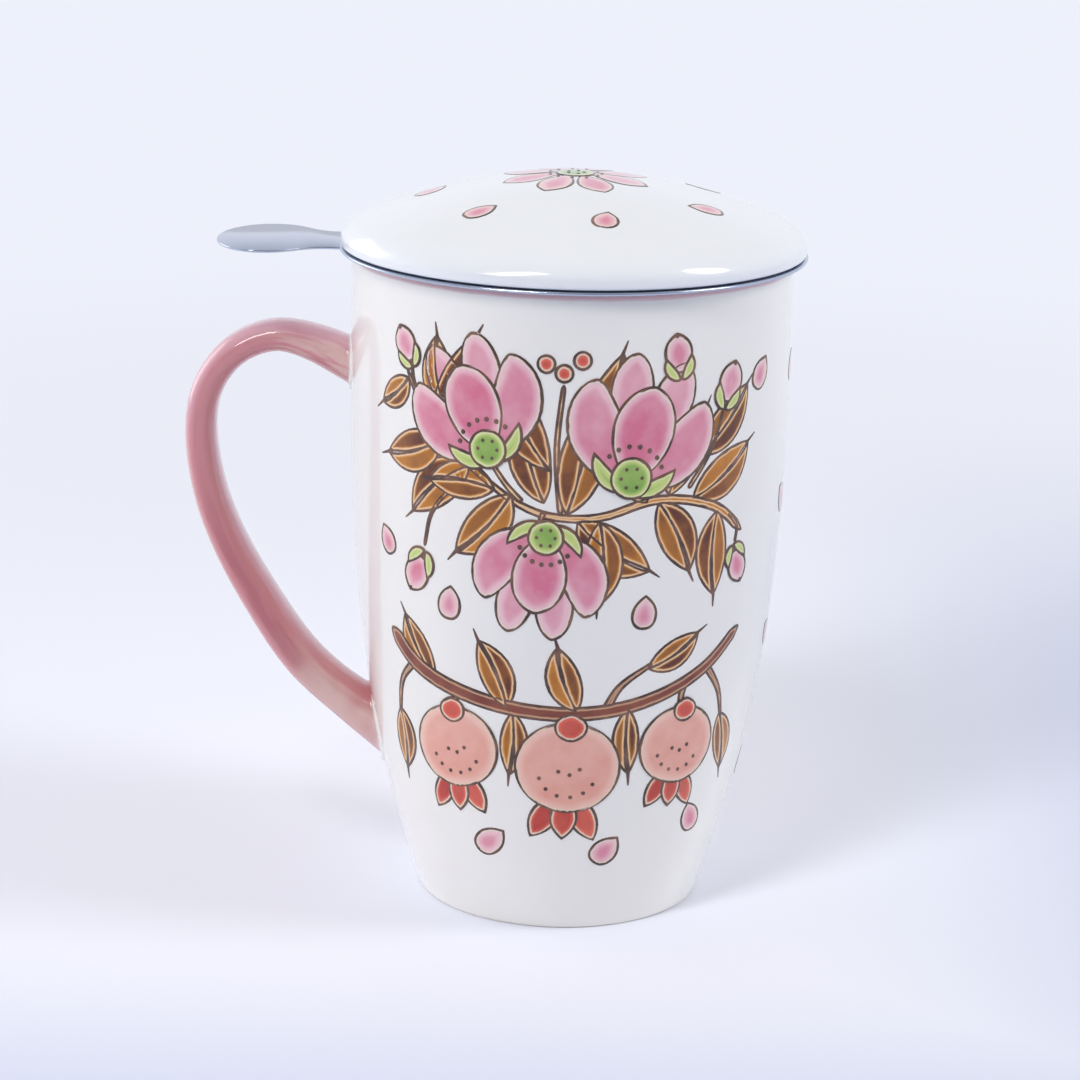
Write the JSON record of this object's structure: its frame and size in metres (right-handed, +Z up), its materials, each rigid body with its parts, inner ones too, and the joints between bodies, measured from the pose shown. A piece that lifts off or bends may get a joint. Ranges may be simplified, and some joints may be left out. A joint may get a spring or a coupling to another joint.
{
  "type": "lidded tea mug with infuser",
  "caption": "Tall porcelain tea mug with a loop handle, a loose domed lid and a lift-out steel infuser basket that hangs in its mouth.",
  "frame": {"origin": "on the table at the mug's axis, in the plane of the foot ring", "axes": "+Z up along the mug's axis, -X towards the handle and the infuser's thumb tab, +Y to the mug's far side as pictured"},
  "size_m": [0.1172, 0.088, 0.1402],
  "materials": {
    "porcelain": "white porcelain under a clear gloss glaze",
    "pink_glaze": "brushed pink underglaze under a clear gloss glaze, pale where it runs thin",
    "rim_steel": "stainless steel, satin",
    "basket_steel": "perforated stainless sheet, satin"
  },
  "bodies": {
    "mug": {"mug_body": "porcelain", "mug_handle": "pink_glaze"},
    "infuser": {"infuser_rim": "rim_steel", "infuser_wall": "basket_steel", "infuser_floor": "basket_steel"},
    "lid": {"lid": "porcelain"}
  },
  "joints": [
    {"name": "infuser_lift", "type": "slide", "parent": "mug", "child": "infuser", "axis": [0, 0, 1], "range_m": [0, 0.09]},
    {"name": "lid_lift", "type": "slide", "parent": "infuser", "child": "lid", "axis": [0, 0, 1], "range_m": [0, 0.06]}
  ]
}
